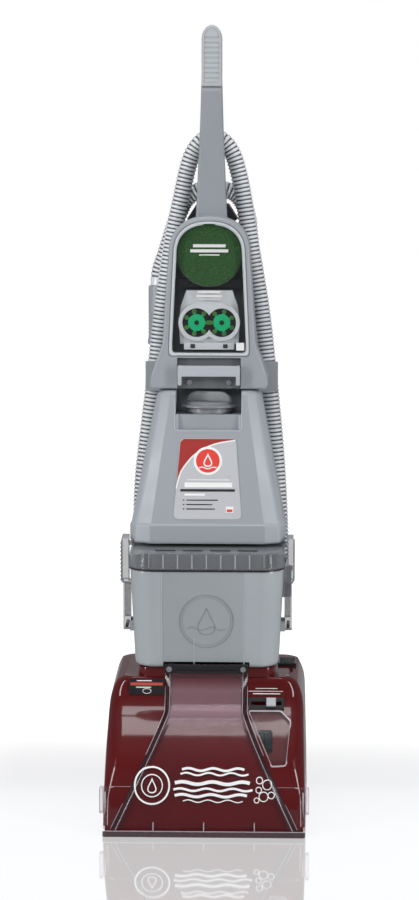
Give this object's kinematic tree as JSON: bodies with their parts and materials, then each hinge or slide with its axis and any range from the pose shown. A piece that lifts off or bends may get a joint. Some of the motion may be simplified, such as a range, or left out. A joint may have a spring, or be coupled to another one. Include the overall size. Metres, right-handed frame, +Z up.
{
  "type": "carpet cleaner machine",
  "caption": "Upright carpet washer with leaning handle, clean and recovery tanks, spinning floor brushes, tool caddy and a stored tool hose.",
  "frame": {"origin": "on the floor, at the middle of the machine's box without the hose", "axes": "+X to the viewer's right as the machine faces the viewer, +Y to the back, +Z up the handle"},
  "size_m": [0.3028, 0.466, 1.1454],
  "materials": {
    "hood_plastic": "gloss, burgundy",
    "grey_plastic": "satin gloss, silver grey",
    "dark_plastic": "matt, fine grain",
    "black_plastic": "satin",
    "clear_plastic": "clear moulded plastic",
    "smoke_tank": "smoky translucent moulding",
    "water_tank": "silver translucent moulding",
    "steel": "zinc plated",
    "tyre": "matt",
    "rubber": "matt",
    "hose_plastic": "clear corrugated hose with dark wire helix",
    "green_pad": "coarse non-woven scouring fibre",
    "green_plastic": "gloss",
    "bristle": "nylon tufts",
    "label": "printed film",
    "white_plastic": "matt"
  },
  "bodies": {
    "base": {"chassis": "dark_plastic", "hood": "hood_plastic", "floor_nozzle": "clear_plastic", "nozzle_seal_bar": "black_plastic", "nozzle_screws": "steel", "corner_guards": "clear_plastic", "turbine_window": "clear_plastic", "slider_plate": "black_plastic", "selector_label": "label", "brush_carrier": "black_plastic", "rear_axle": "steel", "motor_housing": "dark_plastic", "pivot_pins": "steel"},
    "speed_slider": {"speed_slider": "grey_plastic"},
    "brush_1": {"brush_1": "bristle"},
    "brush_2": {"brush_2": "bristle"},
    "brush_3": {"brush_3": "bristle"},
    "brush_4": {"brush_4": "bristle"},
    "brush_5": {"brush_5": "bristle"},
    "turbine": {"turbine_rotor": "dark_plastic"},
    "wheel_left": {"wheel_left": "tyre"},
    "wheel_right": {"wheel_right": "tyre"},
    "front_wheels": {"front_wheels": "dark_plastic"},
    "motor_rotor": {"motor_rotor": "steel"},
    "power_pedal": {"power_pedal": "black_plastic"},
    "release_pedal": {"release_pedal": "black_plastic"},
    "recovery_tank": {"recovery_tank": "smoke_tank", "tank_lid": "clear_plastic", "lid_gasket": "rubber", "latch_pins": "dark_plastic", "standpipe": "clear_plastic"},
    "lid_latch_left": {"lid_latch_left": "clear_plastic"},
    "lid_latch_right": {"lid_latch_right": "clear_plastic"},
    "float": {"float": "white_plastic"},
    "handle": {"column_front": "grey_plastic", "column_rear": "grey_plastic", "hose_bracket": "grey_plastic", "hose_rack": "black_plastic", "hose_port": "dark_plastic", "handle_shaft": "grey_plastic", "handle_back": "grey_plastic", "grip": "grey_plastic", "caddy_frame": "grey_plastic", "caddy_back": "dark_plastic", "tool_clip": "black_plastic", "scrub_pad": "green_pad", "hand_tool": "dark_plastic", "latch_plate": "dark_plastic", "hose": "hose_plastic", "hose_grip": "grey_plastic"},
    "trigger": {"trigger": "black_plastic"},
    "trigger_rod": {"trigger_rod": "steel"},
    "caddy_door": {"caddy_door": "clear_plastic"},
    "hand_brush_left": {"hand_brush_left": "green_plastic"},
    "hand_brush_right": {"hand_brush_right": "green_plastic"},
    "tank_latch": {"tank_latch": "grey_plastic"},
    "solution_tank": {"solution_tank": "water_tank", "tank_label": "label"},
    "tank_cap": {"tank_cap": "grey_plastic"},
    "cord_hook": {"cord_hook": "black_plastic"}
  },
  "joints": [
    {"name": "handle_recline", "type": "hinge", "parent": "base", "child": "handle", "pos_m": [0, 0.08705, 0.105], "axis": [-1, 0, 0], "range_deg": [0, 55]},
    {"name": "wheel_left_spin", "type": "hinge", "parent": "base", "child": "wheel_left", "pos_m": [-0.126, 0.12205, 0.065], "axis": [1, 0, 0], "continuous": true},
    {"name": "wheel_right_spin", "type": "hinge", "parent": "base", "child": "wheel_right", "pos_m": [0.126, 0.12205, 0.065], "axis": [1, 0, 0], "continuous": true},
    {"name": "front_wheels_spin", "type": "hinge", "parent": "base", "child": "front_wheels", "pos_m": [0, -0.10695, 0.0125], "axis": [1, 0, 0], "continuous": true},
    {"name": "brush_1_spin", "type": "hinge", "parent": "base", "child": "brush_1", "pos_m": [-0.092, -0.17295, 0.045], "axis": [0, 0, 1], "continuous": true},
    {"name": "brush_2_spin", "type": "hinge", "parent": "base", "child": "brush_2", "pos_m": [-0.046, -0.17295, 0.045], "axis": [0, 0, 1], "continuous": true},
    {"name": "brush_3_spin", "type": "hinge", "parent": "base", "child": "brush_3", "pos_m": [0, -0.17295, 0.045], "axis": [0, 0, 1], "continuous": true},
    {"name": "brush_4_spin", "type": "hinge", "parent": "base", "child": "brush_4", "pos_m": [0.046, -0.17295, 0.045], "axis": [0, 0, 1], "continuous": true},
    {"name": "brush_5_spin", "type": "hinge", "parent": "base", "child": "brush_5", "pos_m": [0.092, -0.17295, 0.045], "axis": [0, 0, 1], "continuous": true},
    {"name": "turbine_spin", "type": "hinge", "parent": "base", "child": "turbine", "pos_m": [0.086, -0.13768, 0.08], "axis": [0, 0, 1], "continuous": true},
    {"name": "motor_spin", "type": "hinge", "parent": "base", "child": "motor_rotor", "pos_m": [0, -0.04295, 0.1], "axis": [0, 0, 1], "continuous": true},
    {"name": "slider_travel", "type": "slide", "parent": "base", "child": "speed_slider", "axis": [1, 0, 0], "range_m": [-0.026, 0.01]},
    {"name": "power_pedal_press", "type": "slide", "parent": "base", "child": "power_pedal", "axis": [0, 0, -1], "range_m": [0, 0.004], "stiffness_N_per_m": 300, "springref_m": -0.003},
    {"name": "release_pedal_press", "type": "hinge", "parent": "base", "child": "release_pedal", "pos_m": [-0.041, 0.13105, 0.048], "axis": [-1, 0, 0], "range_deg": [0, 12], "stiffness_Nm_per_rad": 0.3, "springref_deg": -17.19},
    {"name": "recovery_tank_pull", "type": "slide", "parent": "base", "child": "recovery_tank", "axis": [0, -1, 0], "range_m": [0, 0.29]},
    {"name": "lid_latch_left_swing", "type": "hinge", "parent": "recovery_tank", "child": "lid_latch_left", "pos_m": [-0.1185, -0.03995, 0.275], "axis": [0, -1, 0], "range_deg": [0, 35]},
    {"name": "lid_latch_right_swing", "type": "hinge", "parent": "recovery_tank", "child": "lid_latch_right", "pos_m": [0.1185, -0.03995, 0.275], "axis": [0, 1, 0], "range_deg": [0, 35]},
    {"name": "float_rise", "type": "slide", "parent": "recovery_tank", "child": "float", "axis": [0, 0, 1], "range_m": [0, 0.02]},
    {"name": "solution_tank_pull", "type": "slide", "parent": "handle", "child": "solution_tank", "axis": [0, -0.9976, 0.0698], "range_m": [0, 0.2]},
    {"name": "tank_cap_turn", "type": "hinge", "parent": "solution_tank", "child": "tank_cap", "pos_m": [0, 0.02504, 0.59452], "axis": [0, 0.0698, 0.9976], "range_deg": [0, 90]},
    {"name": "tank_latch_lift", "type": "slide", "parent": "handle", "child": "tank_latch", "axis": [0, 0.0698, 0.9976], "range_m": [0, 0.006], "stiffness_N_per_m": 300, "springref_m": -0.003},
    {"name": "caddy_door_swing", "type": "hinge", "parent": "handle", "child": "caddy_door", "pos_m": [0, 0.01589, 0.67154], "axis": [1, 0, 0], "range_deg": [0, 85]},
    {"name": "hand_brush_left_spin", "type": "hinge", "parent": "handle", "child": "hand_brush_left", "pos_m": [-0.01845, 0.0254, 0.71438], "axis": [0, -0.9976, 0.0698], "continuous": true},
    {"name": "hand_brush_right_spin", "type": "hinge", "parent": "handle", "child": "hand_brush_right", "pos_m": [0.01845, 0.0254, 0.71438], "axis": [0, -0.9976, 0.0698], "continuous": true},
    {"name": "trigger_squeeze", "type": "hinge", "parent": "handle", "child": "trigger", "pos_m": [0, 0.17109, 1.07751], "axis": [-1, 0, 0], "range_deg": [0, 12]},
    {"name": "trigger_rod_travel", "type": "slide", "parent": "handle", "child": "trigger_rod", "axis": [0, 0.0698, 0.9976], "range_m": [0, 0.0026], "stiffness_N_per_m": 50, "springref_m": -0.002},
    {"name": "cord_hook_turn", "type": "hinge", "parent": "handle", "child": "cord_hook", "pos_m": [0, 0.1808, 1.01568], "axis": [0, 0.9976, -0.0698], "range_deg": [0, 180]}
  ],
  "couplings": [
    {"joint": "brush_2_spin", "follows": "brush_1_spin", "ratio": -1},
    {"joint": "brush_3_spin", "follows": "brush_1_spin", "ratio": 1},
    {"joint": "brush_4_spin", "follows": "brush_1_spin", "ratio": -1},
    {"joint": "brush_5_spin", "follows": "brush_1_spin", "ratio": 1},
    {"joint": "turbine_spin", "follows": "brush_1_spin", "ratio": -1.8},
    {"joint": "hand_brush_right_spin", "follows": "hand_brush_left_spin", "ratio": -1},
    {"joint": "trigger_squeeze", "follows": "trigger_rod_travel", "rad_per_m": 80}
  ]
}
